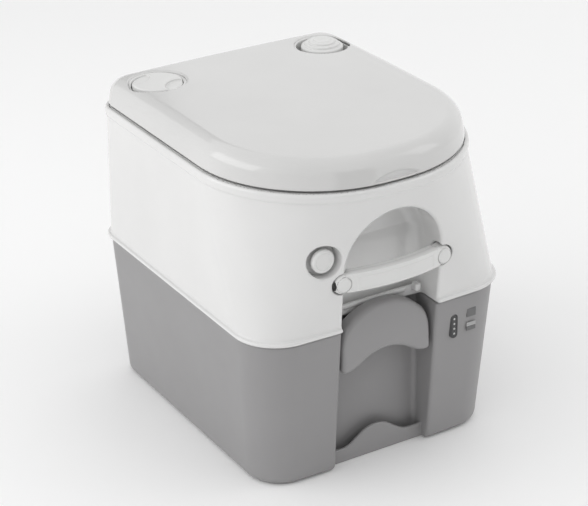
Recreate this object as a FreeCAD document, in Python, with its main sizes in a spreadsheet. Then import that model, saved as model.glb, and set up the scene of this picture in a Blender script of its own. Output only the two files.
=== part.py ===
import FreeCAD, Part
import os
import re
import Sketcher
from FreeCAD import Placement, Rotation, Vector

# Portable flushing toilet in two halves, in millimetres.
# +Z is up, -Y is the user's front, and the origin is on the floor under the middle.

doc = FreeCAD.newDocument("PortableToilet")
dims = doc.addObject("Spreadsheet::Sheet", "Dims")

SIZES = {
    # wall thickness and running clearances
    "wall": 3.0, "slack": 0.4, "fit": 0.05,
    # heights of the main levels
    "tank_foot_z": 12.0, "tank_top_z": 181.0, "lip_z": 182.5, "casing_foot_z": 187.5,
    "crease_z": 334.3, "deck_z": 345.5, "lid_foot_z": 346.5, "lid_side_z": 366.0,
    "lid_shoulder_z": 374.0, "lid_edge_z": 378.5, "lid_top_z": 380.5,
    # finger scoop in the lid's front
    "scoop_radius": 60.0, "scoop_z": 298.5, "scoop_back_y": -187.5,
    # front channel of the tank and the niche above it
    "channel_half": 61.0, "channel_back_y": -136.0, "niche_back_y": -138.0,
    "niche_centre_z": 254.0, "bar_y": -147.6, "bar_top_z": 195.0,
    "foot_lip_y": -150.6, "foot_lip_z": 17.0, "foot_bump_radius": 32.0, "foot_bump_z": 4.0,
    # rear bay that holds the pouring spout
    "bay_half": 115.0, "bay_front_y": 134.0, "bay_floor_z": 120.0,
    # slide valve
    "valve_radius": 38.0, "seal_radius": 43.0, "blade_half": 44.0, "blade_z": 168.3,
    "blade_thick": 4.0, "stem_half": 30.0, "valve_travel": 82.0,
    "grip_front_y": -173.6, "grip_back_y": -152.0, "grip_half": 57.0, "grip_low_z": 125.0,
    "grip_top_radius": 72.0, "grip_top_z": 196.0, "grip_arch_radius": 55.6, "grip_arch_z": 142.0,
    # spout and its cap
    "spout_x": 85.0, "spout_y": 165.0, "spout_z": 150.0, "spout_radius": 21.0,
    "spout_bore": 17.5, "spout_length": 140.0, "spout_cap_radius": 26.0,
    # air vent on the tank
    "vent_x": -133.0, "vent_y": 162.0, "vent_radius": 9.0,
    # level gauge and float
    "gauge_x": 86.5, "gauge_z": 145.0, "gauge_face_y": -176.2, "float_y": -158.0, "float_z": 118.0,
    "float_drop": 72.0, "float_reach": 44.0, "float_radius": 15.0,
    # bowl
    "outlet_radius": 40.0,
    # towers under the lid for the filler and the pump
    "tower_x": 109.5, "tower_y": 131.5, "tower_radius": 34.5, "tower_top_z": 376.8,
    "lid_hole_radius": 32.5, "cap_radius": 29.0, "neck_radius": 22.0,
    "knob_radius": 25.0, "knob_top_z": 384.0, "well_radius": 30.5, "barrel_radius": 17.0,
    "barrel_low_z": 200.0, "rod_radius": 4.0, "pump_travel": 60.0,
    # hinge shared by the seat and the lid
    "hinge_y": 188.0, "hinge_z": 365.0, "eye_radius": 5.5, "pin_radius": 2.5,
    # flush button
    "button_x": -83.0, "button_z": 271.0, "button_radius": 13.5, "button_front_y": -179.0,
    "recess_radius": 18.5, "recess_floor_y": -166.0, "button_travel": 4.0,
    # carrying handle
    "handle_y": -178.0, "handle_z": 242.0, "handle_x": 63.5, "handle_radius": 11.5,
    "strap_radius": 231.8, "handle_pin": 2.5, "handle_pin_x": 72.0, "strap_front_y": -194.9, "strap_thick": 9.0,
}

# Outlines seen from above: half width, front, rear, front corner, front bow, rear corner
OUTLINES = {
    "ground": (141.0, -155.0, 179.0, 34.0, 3000.0, 20.5),
    "tank_foot": (150.6, -164.6, 188.6, 44.0, 3000.0, 30.0),
    "tank_top": (161.0, -179.0, 191.4, 50.0, 3000.0, 31.0),
    "lip": (165.0, -183.0, 195.4, 53.0, 3000.0, 33.0),
    "casing_foot": (161.5, -179.5, 191.9, 51.0, 3000.0, 31.0),
    "crease": (158.0, -193.9, 192.9, 146.0, 612.0, 33.0),
    "rim": (159.4, -195.4, 194.3, 147.7, 613.7, 34.7),
    "lid": (155.7, -191.7, 190.6, 144.0, 610.0, 31.0),
}
OUTLINE_PARTS = ("half", "front", "rear", "corner", "bow", "rear_corner")


def fill_sheet():
    """Write every driving size into the sheet, one named cell each."""
    cells = dict(SIZES)
    for level, numbers in OUTLINES.items():
        for part, number in zip(OUTLINE_PARTS, numbers):
            cells[level + "_" + part] = number
    for row, (name, number) in enumerate(cells.items(), start=1):
        dims.set("A%d" % row, name)
        dims.set("B%d" % row, str(number))
        dims.setAlias("B%d" % row, name)
    doc.recompute()


def expression(text):
    """Turn 'deck_z - wall' into an expression that reads the sheet."""
    return re.sub(r"[a-z_]+", lambda name: "Dims." + name.group(), str(text))


def value(text):
    return float(dims.evalExpression(expression(text)))


def bind(thing, **sizes):
    for name, text in sizes.items():
        thing.setExpression(name.replace("_", "."), expression(text))


def place(thing, x, y, z):
    for name, text in zip("xyz", (x, y, z)):
        thing.setExpression("Placement.Base." + name, expression(text))


# ---------------------------------------------------------------- plain solids

TURNS = {
    "X": Rotation(Vector(0, 1, 0), 90),
    "Y": Rotation(Vector(1, 0, 0), -90),
    "Z": Rotation(),
}


def box(label, x, y, z):
    """A block from low to high on each axis, each given as a pair."""
    block = doc.addObject("Part::Box", label)
    spans = [(low, "(%s) - (%s)" % (high, low)) for low, high in (x, y, z)]
    bind(block, Length=spans[0][1], Width=spans[1][1], Height=spans[2][1])
    place(block, spans[0][0], spans[1][0], spans[2][0])
    return block


def cylinder(label, radius, start, end, x=0, y=0, z=0, axis="Z"):
    """A round bar along an axis, from start to end on it."""
    bar = doc.addObject("Part::Cylinder", label)
    bar.Placement = Placement(Vector(), TURNS[axis])
    bind(bar, Radius=radius, Height="(%s) - (%s)" % (end, start))
    centre = {"X": x, "Y": y, "Z": z}
    centre[axis] = start
    place(bar, centre["X"], centre["Y"], centre["Z"])
    return bar


def ball(label, radius, x, y, z):
    """A sphere with its poles on the X axis."""
    sphere = doc.addObject("Part::Sphere", label)
    sphere.Placement = Placement(Vector(), TURNS["X"])
    bind(sphere, Radius=radius)
    place(sphere, x, y, z)
    return sphere


def fuse(label, *things):
    union = doc.addObject("Part::MultiFuse", label)
    union.Shapes = list(things)
    return union


def cut(label, base, *tools):
    difference = doc.addObject("Part::Cut", label)
    difference.Base = base
    difference.Tool = tools[0] if len(tools) == 1 else fuse(label + "Tools", *tools)
    return difference


def common(label, first, second):
    overlap = doc.addObject("Part::Common", label)
    overlap.Base = first
    overlap.Tool = second
    return overlap


def group(label, *things):
    bundle = doc.addObject("Part::Compound", label)
    bundle.Links = list(things)
    return bundle


def ring(label, outer, inner, start, end, x=0, y=0, z=0, axis="Z"):
    return cut(label,
               cylinder(label + "Outer", outer, start, end, x, y, z, axis),
               cylinder(label + "Inner", inner, "(%s) - 1" % start, "(%s) + 1" % end, x, y, z, axis))


def side_box(label, sign, low, high, y, z):
    """A block whose X span is mirrored on the left."""
    x = (low, high) if sign == "" else ("-(%s)" % high, "-(%s)" % low)
    return box(label, x, y, z)


def side_bar(label, sign, radius, low, high, y, z):
    """A round bar along X, mirrored on the left."""
    start, end = (low, high) if sign == "" else ("-(%s)" % high, "-(%s)" % low)
    return cylinder(label, radius, start, end, y=y, z=z, axis="X")


# ---------------------------------------------------------------- sketched solids

def sketch_outline(body, role, points):
    """A closed polygon on one of the body's own planes, each corner held by two sizes."""
    sketch = body.newObject("Sketcher::SketchObject", body.Name + "Sketch")
    plane = next(item for item in body.Origin.OriginFeatures if item.Role == role)
    sketch.AttachmentSupport = [(plane, "")]
    sketch.MapMode = "FlatFace"
    corners = [Vector(value(first), value(second), 0) for first, second in points]
    count = len(corners)
    for index in range(count):
        sketch.addGeometry(Part.LineSegment(corners[index], corners[(index + 1) % count]))
    for index in range(count):
        sketch.addConstraint(Sketcher.Constraint("Coincident", index, 2, (index + 1) % count, 1))
    for index, (first, second) in enumerate(points):
        for kind, text in (("DistanceX", first), ("DistanceY", second)):
            number = sketch.addConstraint(
                Sketcher.Constraint(kind, -1, 1, index, 1, value(text)))
            sketch.setExpression("Constraints[%d]" % number, expression(text))
    return sketch


def turned(label, points, x=0, y=0):
    """A round piece about a vertical axis at x, y, from radius and height pairs."""
    body = doc.addObject("PartDesign::Body", label)
    sketch = sketch_outline(body, "XZ_Plane", points)
    turn = body.newObject("PartDesign::Revolution", label + "Turn")
    turn.Profile = sketch
    turn.ReferenceAxis = (sketch, ["V_Axis"])
    turn.Angle = 360
    place(body, x, y, 0)
    return body


def padded(label, role, points, low, high):
    """A prism of a polygon; on the YZ plane it runs along X from low to high."""
    body = doc.addObject("PartDesign::Body", label)
    pad = body.newObject("PartDesign::Pad", label + "Pad")
    sketch = sketch_outline(body, role, points)
    pad.Profile = sketch
    bind(pad, Length="(%s) - (%s)" % (high, low))
    spot = {"YZ_Plane": (low, 0, 0), "XY_Plane": (0, 0, low)}[role]
    place(body, *spot)
    return body


# ---------------------------------------------------------------- rounded outlines

def outline_wire(level, inset, height):
    """The outline of a level, moved in by inset: straight sides, bowed front."""
    half, front, rear, corner, bow, back = (value(level + "_" + part) for part in OUTLINE_PARTS)
    half -= inset
    front += inset
    rear -= inset
    corner -= inset
    bow -= inset
    back -= inset
    side_y = front + bow - ((bow - corner) ** 2 - (half - corner) ** 2) ** 0.5
    bow_centre = Vector(0, front + bow, height)
    corner_centre = Vector(half - corner, side_y, height)
    outward = (corner_centre - bow_centre).normalize()
    bow_end = bow_centre + outward * bow
    corner_mid = corner_centre + (outward + Vector(1, 0, 0)).normalize() * corner
    slant = back * (1 - 0.5 ** 0.5)

    def mirrored(point):
        return Vector(-point.x, point.y, point.z)

    side_low = Vector(half, side_y, height)
    side_high = Vector(half, rear - back, height)
    rear_mid = Vector(half - slant, rear - slant, height)
    rear_end = Vector(half - back, rear, height)
    front_mid = Vector(0, front, height)
    edges = [
        Part.Arc(mirrored(bow_end), front_mid, bow_end),
        Part.Arc(bow_end, corner_mid, side_low),
        Part.LineSegment(side_low, side_high),
        Part.Arc(side_high, rear_mid, rear_end),
        Part.LineSegment(rear_end, mirrored(rear_end)),
        Part.Arc(mirrored(rear_end), mirrored(rear_mid), mirrored(side_high)),
        Part.LineSegment(mirrored(side_high), mirrored(side_low)),
        Part.Arc(mirrored(side_low), mirrored(corner_mid), mirrored(bow_end)),
    ]
    return Part.Wire([edge.toShape() for edge in edges])


def lofted(label, *sections):
    """A solid through outlines, each given as level, inset and height."""
    solid = doc.addObject("Part::Feature", label)
    wires = [outline_wire(level, value(inset), value(height)) for level, inset, height in sections]
    solid.Shape = Part.makeLoft(wires, True, True)
    return solid


def oval_wire(half_x, half_y, centre_y, height):
    turn = Rotation() if half_x >= half_y else Rotation(Vector(0, 0, 1), 90)
    oval = Part.Ellipse(Vector(), max(half_x, half_y), min(half_x, half_y)).toShape()
    oval.Placement = Placement(Vector(0, centre_y, height), turn)
    return Part.Wire([oval])


def oval_loft(label, sections, grow):
    """A smooth solid through ovals, listed from the top down; grow widens all of them."""
    solid = doc.addObject("Part::Feature", label)
    wires = [oval_wire(half_x + grow, half_y + grow, centre, height)
             for half_x, half_y, centre, height in sections]
    solid.Shape = Part.makeLoft(wires, True, False)
    return solid


# ---------------------------------------------------------------- waste tank

def make_tank():
    """The hollow lower half with its front channel, rear bay and valve hole."""
    outer = lofted("TankOuter", ("ground", 0, 0), ("tank_foot", 0, "tank_foot_z"),
                   ("tank_top", 0, "tank_top_z"))
    inner = lofted("TankInner", ("ground", "wall", "wall"), ("tank_foot", "wall", "tank_foot_z"),
                   ("tank_top", "wall", "tank_top_z - wall"))
    channel_skin = box("ChannelSkin", ("-channel_half - wall", "channel_half + wall"),
                       (-210, "channel_back_y + wall"), (-1, 200))
    bay_skin = box("BaySkin", ("-bay_half - wall", "bay_half + wall"),
                   ("bay_front_y - wall", 210), ("bay_floor_z - wall", 200))
    vent_skin = cylinder("VentSkin", "vent_radius + 5", "tank_top_z - 20", 200,
                         x="vent_x", y="vent_y")
    hollow = cut("TankHollow", inner, channel_skin, bay_skin, vent_skin)
    channel = box("Channel", ("-channel_half", "channel_half"), (-210, "channel_back_y"), (-1, 200))
    bay = box("Bay", ("-bay_half", "bay_half"), ("bay_front_y", 210), ("bay_floor_z", 200))
    mouth = cylinder("TankMouth", "valve_radius", 150, 200)
    neck_hole = cylinder("SpoutHole", "spout_bore + 2.5", 100, 150, x="spout_x", y="spout_y")
    vent_well = cylinder("VentWell", "vent_radius + 2", "tank_top_z - 12", 200,
                         x="vent_x", y="vent_y")
    vent_bore = cylinder("VentBore", "3 + fit", "tank_top_z - 30", 200, x="vent_x", y="vent_y")
    stem_slot = box("StemSlot", ("-stem_half - slack", "stem_half + slack"),
                    ("channel_back_y - 1", "channel_back_y + wall + 1"),
                    ("blade_z - slack", "blade_z + blade_thick + slack"))
    shell = cut("TankShellBare", outer, hollow, channel, bay, mouth, neck_hole, vent_well,
                vent_bore, stem_slot)
    floor = box("ChannelFloor", ("-channel_half", "channel_half"),
                ("foot_lip_y", "channel_back_y + 1"), (0, 5))
    lip = box("FootLip", ("-channel_half", "channel_half"), ("foot_lip_y", "foot_lip_y + 4"),
              (0, "foot_lip_z"))
    bump = cylinder("FootBump", "foot_bump_radius", "foot_lip_y", "foot_lip_y + 4",
                    z="foot_bump_z", axis="Y")
    trim = box("FootBumpTrim", (-60, 60), (-160, -140), (-60, 0))
    lens_hole = gauge_form("GaugeHole", "5 + fit")
    label_pockets = [label_box("LabelPocket" + name, low, "fit") for name, low in LABEL_ROWS]
    body = fuse("TankBody", shell, floor, lip, cut("FootBumpCut", bump, trim))
    return cut("tank_shell", body, lens_hole, *label_pockets)


def make_valve_housing():
    """A flat box under the tank's top that guides the blade."""
    block = box("HousingBlock", (-56, 56), (-131, 50), ("blade_z - 4.3", "tank_top_z - wall"))
    slot = box("HousingSlot", ("-blade_half - slack", "blade_half + slack"),
               ("-blade_half - valve_travel - 1", "blade_half + 1"),
               ("blade_z - slack", "blade_z + blade_thick + slack"))
    gate = box("HousingGate", ("-stem_half - slack", "stem_half + slack"), (-140, -120),
               ("blade_z - slack", "blade_z + blade_thick + slack"))
    bore = cylinder("HousingBore", "seal_radius + fit", 150, 190)
    return cut("valve_housing", block, slot, gate, bore)


def make_valve_seals():
    upper = ring("valve_seal_upper", "seal_radius", "valve_radius",
                 "blade_z + blade_thick + 0.1", "tank_top_z - wall")
    lower = ring("valve_seal_lower", "seal_radius", "valve_radius", "blade_z - 4.3", "blade_z - 0.1")
    lip = ring("outlet_seal", "outlet_radius + 10", "outlet_radius", "tank_top_z", "lip_z - 0.2")
    return [upper, lower, lip]


def make_rest_pads():
    spots = [(145, -95), (145, 105), (-145, -95), (-145, 105)]
    pads = [cylinder("Pad%d" % number, 7, "tank_top_z", "lip_z", x=x, y=y)
            for number, (x, y) in enumerate(spots)]
    return group("rest_pads", *pads)


def make_blade():
    """The sliding gate and the stem that runs out through the channel wall."""
    gate = box("BladePlate", ("-blade_half", "blade_half"), ("-blade_half", "blade_half"),
               ("blade_z", "blade_z + blade_thick"))
    stem = box("BladeStem", ("-stem_half", "stem_half"), ("grip_front_y + 7", "1 - blade_half"),
               ("blade_z", "blade_z + blade_thick"))
    return fuse("valve_blade", gate, stem)


def make_grip():
    """The arched pull cover, hollow at the back, that moves the blade."""
    def arch(label, shrink, front, back):
        block = box(label + "Block", ("%s - grip_half" % shrink, "grip_half - %s" % shrink),
                    (front, back), ("grip_low_z + %s" % shrink, 210))
        top = cylinder(label + "Top", "grip_top_radius - %s" % shrink, front, back,
                       z="grip_top_z - grip_top_radius", axis="Y")
        under = cylinder(label + "Under", "grip_arch_radius + %s" % shrink, -200, -100,
                         z="grip_arch_z - grip_arch_radius", axis="Y")
        return cut(label, common(label + "Body", block, top), under)

    outer = arch("GripOuter", "0", "grip_front_y", "grip_back_y")
    inner = arch("GripInner", "3.5", "grip_front_y + 7", "grip_back_y + 1")
    return cut("valve_grip", outer, inner)


def make_spout():
    """An elbow that stands in the bay's floor and swings out to the rear."""
    rise = cylinder("SpoutRise", "spout_radius", "bay_floor_z + 0.3", "spout_z",
                    x="spout_x", y="spout_y")
    knee = ball("SpoutKnee", "spout_radius", "spout_x", "spout_y", "spout_z")
    run = cylinder("SpoutRun", "spout_radius", "spout_x - spout_length", "spout_x",
                   y="spout_y", z="spout_z", axis="X")
    neck = cylinder("SpoutNeck", "spout_bore + 2.45", "bay_floor_z - wall - 3",
                    "bay_floor_z + 1", x="spout_x", y="spout_y")
    inner_rise = cylinder("SpoutBoreRise", "spout_bore", 100, "spout_z", x="spout_x", y="spout_y")
    inner_knee = ball("SpoutBoreKnee", "spout_bore", "spout_x", "spout_y", "spout_z")
    inner_run = cylinder("SpoutBoreRun", "spout_bore", "spout_x - spout_length - 1", "spout_x",
                         y="spout_y", z="spout_z", axis="X")
    return cut("pour_spout", fuse("SpoutBody", rise, knee, run, neck),
               inner_rise, inner_knee, inner_run)


def make_spout_cap():
    end = "spout_x - spout_length"
    shell = cylinder("SpoutCapShell", "spout_cap_radius", end + " - 5", end + " + 18",
                     y="spout_y", z="spout_z", axis="X")
    room = cylinder("SpoutCapRoom", "spout_radius + 0.3", end + " - 2", end + " + 19",
                    y="spout_y", z="spout_z", axis="X")
    cap = cut("spout_cap", shell, room)
    seal = ring("spout_cap_seal", "spout_radius - 0.5", "spout_bore - 2", end + " - 2",
                end + " - 0.2", y="spout_y", z="spout_z", axis="X")
    return [cap, seal]


def make_vent():
    button = fuse("vent_button",
                  cylinder("VentHead", "vent_radius", "tank_top_z - 5", "tank_top_z - 0.5",
                           x="vent_x", y="vent_y"),
                  cylinder("VentStem", 3, "tank_top_z - 26", "tank_top_z - 4",
                           x="vent_x", y="vent_y"))
    return button


def make_spring(label, radius, wire, pitch, x, y, z, axis):
    """The three coils of a small return spring, each drawn as a closed ring."""
    coils = []
    for number in range(3):
        coil = doc.addObject("Part::Torus", "%sCoil%d" % (label, number))
        coil.Placement = Placement(Vector(), TURNS[axis])
        bind(coil, Radius1=radius, Radius2=wire)
        centre = {"X": x, "Y": y, "Z": z}
        centre[axis] = "%s + %s * %d" % (centre[axis], pitch, number)
        place(coil, centre["X"], centre["Y"], centre["Z"])
        coils.append(coil)
    return group(label, *coils)


LABEL_ROWS = (("Top", "gauge_z + 6"), ("Low", "gauge_z - 11"))


def gauge_form(label, radius):
    """A slim upright oval that goes through the front wall."""
    depth = ("gauge_face_y", "gauge_face_y + 8")
    ends = [cylinder(label + name, radius, depth[0], depth[1], x="gauge_x", z=height, axis="Y")
            for name, height in (("Top", "gauge_z + 10"), ("Low", "gauge_z - 10"))]
    middle = box(label + "Middle", ("gauge_x - (%s)" % radius, "gauge_x + (%s)" % radius), depth,
                 ("gauge_z - 10", "gauge_z + 10"))
    return fuse(label, middle, *ends)


def label_box(label, low, grow):
    """A blank label beside the gauge."""
    return box(label, ("gauge_x + 17.5 - %s" % grow, "gauge_x + 29.5 + %s" % grow),
               ("gauge_face_y + 0.4 - %s" % grow, "gauge_face_y + 2 + %s" % grow),
               ("%s - %s" % (low, grow), "%s + 10 + %s" % (low, grow)))


def make_gauge():
    """The level window, and two blank labels to its right."""
    labels = [label_box("Label" + name, low, "0") for name, low in LABEL_ROWS]
    return [gauge_form("gauge_lens", "5"), group("blank_labels", *labels)]


def make_float():
    """A float on a swinging arm behind the gauge."""
    arm = padded("FloatArm", "YZ_Plane",
                 [("float_y - 2", "float_z"), ("float_y + 2", "float_z"),
                  ("float_y + float_reach + 2", "float_z - float_drop"),
                  ("float_y + float_reach - 2", "float_z - float_drop")],
                 "gauge_x - 2", "gauge_x + 2")
    hub = cylinder("FloatHub", 5, "gauge_x - 3", "gauge_x + 3", y="float_y", z="float_z", axis="X")
    bore = cylinder("FloatHubBore", "2 + fit", "gauge_x - 9", "gauge_x + 9",
                    y="float_y", z="float_z", axis="X")
    arm_piece = cut("float_arm", fuse("FloatArmBody", arm, hub), bore,
                    cylinder("FloatSeat", "float_radius + fit", "gauge_x - 9", "gauge_x + 9",
                             y="float_y + float_reach", z="float_z - float_drop", axis="X"))
    drum = cylinder("gauge_float", "float_radius", "gauge_x - 16", "gauge_x + 16",
                    y="float_y + float_reach", z="float_z - float_drop", axis="X")
    return [arm_piece, drum]


# ---------------------------------------------------------------- upper unit

BOWL_OVALS = [
    (108.0, 103.0, -45.0, 345.5),
    (97.0, 84.0, -39.0, 313.0),
    (68.0, 61.0, -24.0, 250.0),
    (46.0, 43.0, -6.0, 205.0),
    (40.0, 40.0, 0.0, 184.3),
]
BOWL_OUTLET = (39.8, 39.8, 0.0, 181.0)


def niche_form(label, grow, back):
    """An arch-topped block that reaches out through the front."""
    block = box(label + "Block", ("-channel_half - (%s)" % grow, "channel_half + (%s)" % grow),
                (-210, back), (170, "niche_centre_z"))
    arch = cylinder(label + "Arch", "channel_half + (%s)" % grow, -210, back,
                    z="niche_centre_z", axis="Y")
    return fuse(label, block, arch)


def handle_socket(label, grow, reach, sign):
    """The round space in which one end of the handle turns."""
    end = ball(label + "Ball", "handle_radius + %s" % grow, sign + "handle_x", "handle_y",
               "handle_z")
    bar = side_bar(label + "Bar", sign, "handle_radius + %s" % grow, 45, reach,
                   "handle_y", "handle_z")
    return fuse(label, end, bar)


def make_casing():
    """The outer shell: foot lip, drawn sides, rim, niche, button recess, hinge posts."""
    outer = fuse("CasingOuter",
                 lofted("CasingSide", ("casing_foot", 0, "casing_foot_z"), ("crease", 0, "crease_z")),
                 lofted("CasingRim", ("rim", 0.7, "crease_z"), ("rim", 0, "crease_z + 1.5"),
                        ("rim", 0, "deck_z - 3"), ("rim", 1.5, "deck_z")),
                 lofted("CasingLip", ("lip", 0.5, "lip_z"), ("lip", 0, "lip_z + 1.5"),
                        ("lip", 0, "casing_foot_z - 1"), ("lip", 1.5, "casing_foot_z")))
    inner = lofted("CasingInner", ("casing_foot", "wall", "lip_z - 5"),
                   ("casing_foot", "wall", "casing_foot_z"),
                   ("crease", "wall", "crease_z"), ("crease", "wall", "deck_z + 5"))
    niche_skin = niche_form("NicheSkin", "wall", "niche_back_y + wall")
    button_skin = cylinder("ButtonSkin", "recess_radius + wall", -210, "recess_floor_y + wall",
                           x="button_x", z="button_z", axis="Y")
    sockets = [side_bar("SocketSkin" + name, sign, "handle_radius + 4.5", "channel_half", 82,
                        "handle_y", "handle_z") for name, sign in (("Right", ""), ("Left", "-"))]
    hollow = cut("CasingHollow", inner, niche_skin, button_skin, *sockets)
    niche = niche_form("Niche", "0", "niche_back_y")
    recess = cylinder("ButtonRecess", "recess_radius", -210, "recess_floor_y",
                      x="button_x", z="button_z", axis="Y")
    button_bore = cylinder("ButtonBore", "4 + fit", -210, -150, x="button_x", z="button_z", axis="Y")
    rooms = [handle_socket("SocketRoom" + name, "1.5", "handle_x", sign)
             for name, sign in (("Right", ""), ("Left", "-"))]
    pin_bores = [side_bar("SocketBore" + name, sign, "handle_pin + fit", "handle_x", "handle_pin_x + 1",
                          "handle_y", "handle_z") for name, sign in (("Right", ""), ("Left", "-"))]
    shell = cut("CasingShell", outer, hollow, niche, recess, button_bore, *rooms, *pin_bores)
    bar = box("NicheBar", ("-channel_half", "channel_half"), ("bar_y", "bar_y + 4"),
              ("lip_z", "bar_top_z"))
    floor = box("NicheFloor", ("-channel_half", "channel_half"), ("bar_y", "niche_back_y + 1"),
                ("lip_z", "lip_z + 3"))
    lug = box("NicheLug", (48, 56), ("bar_y - 9", "bar_y + 1"), (189, 199))
    posts = [make_post(name, sign) for name, sign in (("Right", ""), ("Left", "-"))]
    body = fuse("CasingBody", shell, bar, floor, lug, *posts)
    bores = [side_bar("PostBore" + name, sign, "pin_radius + fit", 60, 90, "hinge_y", "hinge_z")
             for name, sign in (("Right", ""), ("Left", "-"))]
    return cut("upper_casing", body, *bores)


def make_post(name, sign):
    """One rear post with a round eye for the hinge pin."""
    stem = side_box("PostStem" + name, sign, 68, 80, ("hinge_y - eye_radius", "hinge_y + eye_radius"),
                    ("deck_z - 4", "hinge_z"))
    eye = side_bar("PostEye" + name, sign, "eye_radius", 68, 80, "hinge_y", "hinge_z")
    return fuse("Post" + name, stem, eye)


def make_deck_bowl():
    """The bowl, its deck, and the two towers that reach up under the lid."""
    plate = lofted("DeckPlate", ("crease", "wall + 0.1", "deck_z - wall"),
                   ("crease", "wall + 0.1", "deck_z"))
    bowl = oval_loft("BowlOuter", BOWL_OVALS, 3.0)
    towers = [cylinder("Tower" + name, "tower_radius", "deck_z - wall", "tower_top_z",
                       x=sign + "tower_x", y="tower_y") for name, sign in (("Right", ""), ("Left", "-"))]
    room = lofted("TowerRoom", ("lid", 6.5, "deck_z - wall"), ("lid", 10, "lid_side_z - wall"),
                  ("lid", 13.5, "lid_shoulder_z - wall"), ("lid", 19, "lid_edge_z - wall"),
                  ("lid", 30, "tower_top_z + 1"))
    tower_pair = common("Towers", fuse("TowerPair", *towers), room)
    body = fuse("DeckBody", plate, bowl, tower_pair)
    inside = oval_loft("BowlInner", BOWL_OVALS + [BOWL_OUTLET], 0.0)
    well = cylinder("PumpWell", "well_radius", "deck_z + 1", 400, x="tower_x", y="tower_y")
    barrel_hole = cylinder("BarrelHole", "barrel_radius + fit", 300, 400, x="tower_x", y="tower_y")
    cap_well = cylinder("CapWell", "cap_radius + slack", "deck_z + 14", 400, x="-tower_x", y="tower_y")
    neck_hole = cylinder("NeckHole", "neck_radius + fit", 300, 400, x="-tower_x", y="tower_y")
    nozzle_hole = cylinder("NozzleHole", "4 + fit", 30, 75, z="deck_z - 11", axis="Y")
    post_gaps = [side_box("PostGap" + name, sign, 67.9, 80.1, ("hinge_y - eye_radius - 0.1", 210),
                          (330, 360)) for name, sign in (("Right", ""), ("Left", "-"))]
    return cut("deck_bowl", body, inside, well, barrel_hole, cap_well, neck_hole,
               nozzle_hole, *post_gaps)


def make_water_floor():
    """The plate that closes the flush water space below."""
    plate = lofted("FloorPlate", ("casing_foot", "wall + 0.1", "lip_z + 0.2"),
                   ("casing_foot", "wall + 0.1", "lip_z + 3.2"))
    niche = box("FloorNiche", ("-channel_half - wall - 0.1", "channel_half + wall + 0.1"),
                (-210, "niche_back_y + wall + 0.1"), (170, 200))
    mouth = cylinder("FloorMouth", "outlet_radius + wall + 1.2", 170, 200)
    return cut("water_tank_floor", plate, niche, mouth)


def make_filler():
    """The filler neck, its turning cap and the cap's seal."""
    neck = ring("filler_neck", "neck_radius", "neck_radius - 3", "deck_z - 20", "tower_top_z - 7",
                x="-tower_x", y="tower_y")
    cap = turned("filler_cap", [
        (0, "tower_top_z - 4"), ("neck_radius + slack", "tower_top_z - 4"),
        ("neck_radius + slack", "tower_top_z - 16"), ("cap_radius", "tower_top_z - 16"),
        ("cap_radius", "tower_top_z - 1"), ("cap_radius - 2", "tower_top_z + 1"),
        (0, "tower_top_z + 2")], x="-tower_x", y="tower_y")
    seal = ring("filler_seal", "neck_radius", "neck_radius - 3", "tower_top_z - 6.8",
                "tower_top_z - 4.1", x="-tower_x", y="tower_y")
    return [neck, cap, seal]


def make_pump():
    """Barrel, rod, piston, its ring and the stepped knob."""
    barrel = cut("pump_barrel",
                 cylinder("BarrelOuter", "barrel_radius", "barrel_low_z", "deck_z + 1",
                          x="tower_x", y="tower_y"),
                 cylinder("BarrelInner", "barrel_radius - 2", "barrel_low_z + 3", "deck_z - 3",
                          x="tower_x", y="tower_y"),
                 cylinder("BarrelRodHole", "rod_radius + fit", 300, 400, x="tower_x", y="tower_y"),
                 cylinder("BarrelOutlet", 3, 190, 220, x="tower_x", y="tower_y"))
    rod = cylinder("pump_rod", "rod_radius", "barrel_low_z + 30", "tower_top_z - 9",
                   x="tower_x", y="tower_y")
    piston = turned("pump_piston", [
        ("rod_radius", "barrel_low_z + 30"), ("barrel_radius - 2.1", "barrel_low_z + 30"),
        ("barrel_radius - 2.1", "barrel_low_z + 33"), ("barrel_radius - 4", "barrel_low_z + 33"),
        ("barrel_radius - 4", "barrel_low_z + 37"), ("barrel_radius - 2.1", "barrel_low_z + 37"),
        ("barrel_radius - 2.1", "barrel_low_z + 40"), ("rod_radius", "barrel_low_z + 40")],
        x="tower_x", y="tower_y")
    piston_ring = ring("piston_ring", "barrel_radius - 2 - fit", "barrel_radius - 4",
                       "barrel_low_z + 33", "barrel_low_z + 37", x="tower_x", y="tower_y")
    knob = turned("pump_knob", [
        (0, "tower_top_z - 9"), ("knob_radius - 3", "tower_top_z - 9"),
        ("knob_radius - 3", "tower_top_z - 24"), ("knob_radius", "tower_top_z - 24"),
        ("knob_radius", "tower_top_z - 1"), ("knob_radius - 3", "tower_top_z + 1.5"),
        ("knob_radius - 6", "tower_top_z + 2"), ("knob_radius - 8", "knob_top_z - 2"),
        ("knob_radius - 12", "knob_top_z - 0.5"), (0, "knob_top_z")],
        x="tower_x", y="tower_y")
    return [barrel, rod, piston, piston_ring, knob]


def make_flush():
    """The push button, its valve and the spray nozzle at the bowl's rim."""
    head = cylinder("ButtonHead", "button_radius", "button_front_y", "button_front_y + 7",
                    x="button_x", z="button_z", axis="Y")
    stem = cylinder("ButtonStem", 4, "button_front_y + 6", "recess_floor_y + 10",
                    x="button_x", z="button_z", axis="Y")
    button = fuse("flush_button", head, stem)
    valve = cut("flush_valve",
                cylinder("FlushValveBody", 12, "recess_floor_y + wall", "recess_floor_y + 24",
                         x="button_x", z="button_z", axis="Y"),
                cylinder("FlushValveBore", "4 + fit", "recess_floor_y", "recess_floor_y + 18",
                         x="button_x", z="button_z", axis="Y"))
    nozzle = cylinder("spray_nozzle", 4, 42, 66, z="deck_z - 11", axis="Y")
    return [button, valve, nozzle]


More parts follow.
